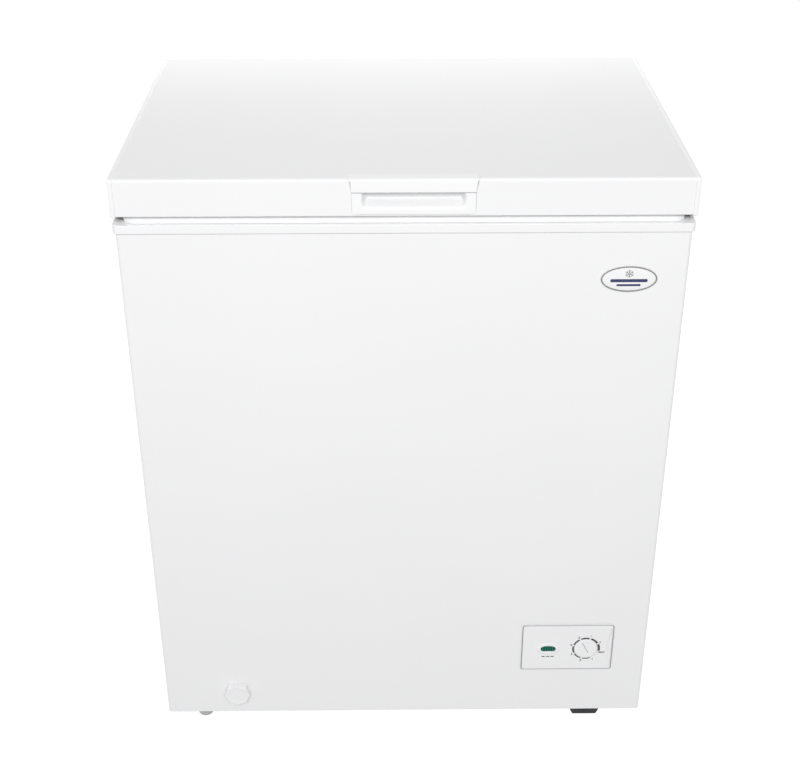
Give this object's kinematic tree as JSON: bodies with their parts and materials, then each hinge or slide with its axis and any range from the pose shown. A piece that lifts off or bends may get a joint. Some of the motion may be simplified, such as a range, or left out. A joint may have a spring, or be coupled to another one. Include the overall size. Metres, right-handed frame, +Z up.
{
  "type": "chest freezer",
  "caption": "Small white chest freezer with a top lid on spring hinges, a wire basket, a front temperature dial with a green lamp, and a front drain.",
  "frame": {"origin": "on the floor under the middle of the freezer's outer box", "axes": "+Z up, +Y from the front with the handle towards the back with the hinges, +X to the right of a person facing the front"},
  "size_m": [0.706, 0.524, 0.8598],
  "materials": {
    "paint": "gloss",
    "white_plastic": "satin",
    "liner": "satin",
    "foam": "matte",
    "zinc": "satin",
    "steel": "polished",
    "copper": "satin",
    "black_rubber": "matte",
    "gasket_rubber": "matte",
    "black_paint": "satin",
    "black_plastic": "satin",
    "grey_plastic": "satin",
    "lamp_lens": "polished",
    "basket_wire": "satin"
  },
  "bodies": {
    "cabinet": {"cabinet_shell": "paint", "back_panel": "zinc", "base_pan": "zinc", "collar": "white_plastic", "inner_liner": "liner", "cabinet_foam": "foam", "evaporator_coil": "copper", "condenser_coil": "copper", "vent_grille": "white_plastic", "rear_cover": "zinc", "cord_gland": "black_plastic", "badge_plate": "white_plastic", "control_panel": "white_plastic", "indicator_lens": "lamp_lens", "indicator_lamp": "black_plastic", "thermostat_body": "steel", "drain_sleeve": "grey_plastic", "compressor_tray": "zinc", "compressor": "black_paint", "grommet_1": "black_rubber", "grommet_2": "black_rubber", "grommet_3": "black_rubber", "grommet_4": "black_rubber", "compressor_bolt_1": "steel", "compressor_bolt_2": "steel", "compressor_bolt_3": "steel", "compressor_bolt_4": "steel", "starter_box": "black_plastic", "filter_drier": "copper", "suction_pipe": "copper", "discharge_pipe": "copper", "capillary_tube": "copper", "black_foot_front": "black_rubber", "black_foot_rear": "black_rubber", "hinge_channel_left": "zinc", "hinge_channel_right": "zinc", "hinge_pin_left": "steel", "hinge_pin_right": "steel", "hinge_spring_left": "steel", "hinge_spring_right": "steel"},
    "lid": {"lid_skin": "paint", "lid_foam": "foam", "lid_trim_left": "white_plastic", "lid_trim_right": "white_plastic", "inner_lid_panel": "liner", "lid_gasket": "gasket_rubber", "corner_buffer_left": "black_rubber", "corner_buffer_right": "black_rubber", "lid_handle": "white_plastic", "hinge_leaf_left": "zinc", "hinge_leaf_right": "zinc"},
    "plunger_left": {"hinge_plunger_left": "grey_plastic"},
    "plunger_right": {"hinge_plunger_right": "grey_plastic"},
    "basket": {"basket": "basket_wire"},
    "dial": {"thermostat_dial": "white_plastic"},
    "drain_pipe": {"drain_spout": "white_plastic"},
    "drain_cap": {"drain_knob": "white_plastic"},
    "stopper": {"drain_stopper": "black_rubber"},
    "foot_front": {"levelling_foot_front": "grey_plastic"},
    "foot_rear": {"levelling_foot_rear": "grey_plastic"}
  },
  "joints": [
    {"name": "lid_hinge", "type": "hinge", "parent": "cabinet", "child": "lid", "pos_m": [0, 0.252, 0.808], "axis": [-1, 0, 0], "range_deg": [0, 80]},
    {"name": "plunger_left_slide", "type": "slide", "parent": "cabinet", "child": "plunger_left", "axis": [0, 0, 1], "range_m": [0, 0.0061], "deforming": ["hinge_spring_left"]},
    {"name": "plunger_right_slide", "type": "slide", "parent": "cabinet", "child": "plunger_right", "axis": [0, 0, 1], "range_m": [0, 0.0061], "deforming": ["hinge_spring_right"]},
    {"name": "basket_slide", "type": "slide", "parent": "cabinet", "child": "basket", "axis": [1, 0, 0], "range_m": [-0.39, 0]},
    {"name": "dial_turn", "type": "hinge", "parent": "cabinet", "child": "dial", "pos_m": [0.263, -0.251, 0.1344], "axis": [0, 1, 0], "range_deg": [-180, 135]},
    {"name": "drain_pull", "type": "slide", "parent": "cabinet", "child": "drain_pipe", "axis": [0, -1, 0], "range_m": [0, 0.012]},
    {"name": "drain_turn", "type": "hinge", "parent": "drain_pipe", "child": "drain_cap", "pos_m": [-0.245, -0.251, 0.056], "axis": [0, 1, 0], "range_deg": [0, 180]},
    {"name": "stopper_lift", "type": "slide", "parent": "cabinet", "child": "stopper", "axis": [0, 0, 1], "range_m": [0, 0.03]},
    {"name": "foot_front_turn", "type": "hinge", "parent": "cabinet", "child": "foot_front", "pos_m": [-0.297, -0.2325, 0], "axis": [0, 0, 1], "continuous": true},
    {"name": "foot_rear_turn", "type": "hinge", "parent": "cabinet", "child": "foot_rear", "pos_m": [-0.297, 0.204, 0], "axis": [0, 0, 1], "continuous": true}
  ],
  "couplings": [
    {"joint": "plunger_left_slide", "follows": "lid_hinge", "m_per_rad": 0.0043},
    {"joint": "plunger_right_slide", "follows": "lid_hinge", "m_per_rad": 0.0043}
  ]
}
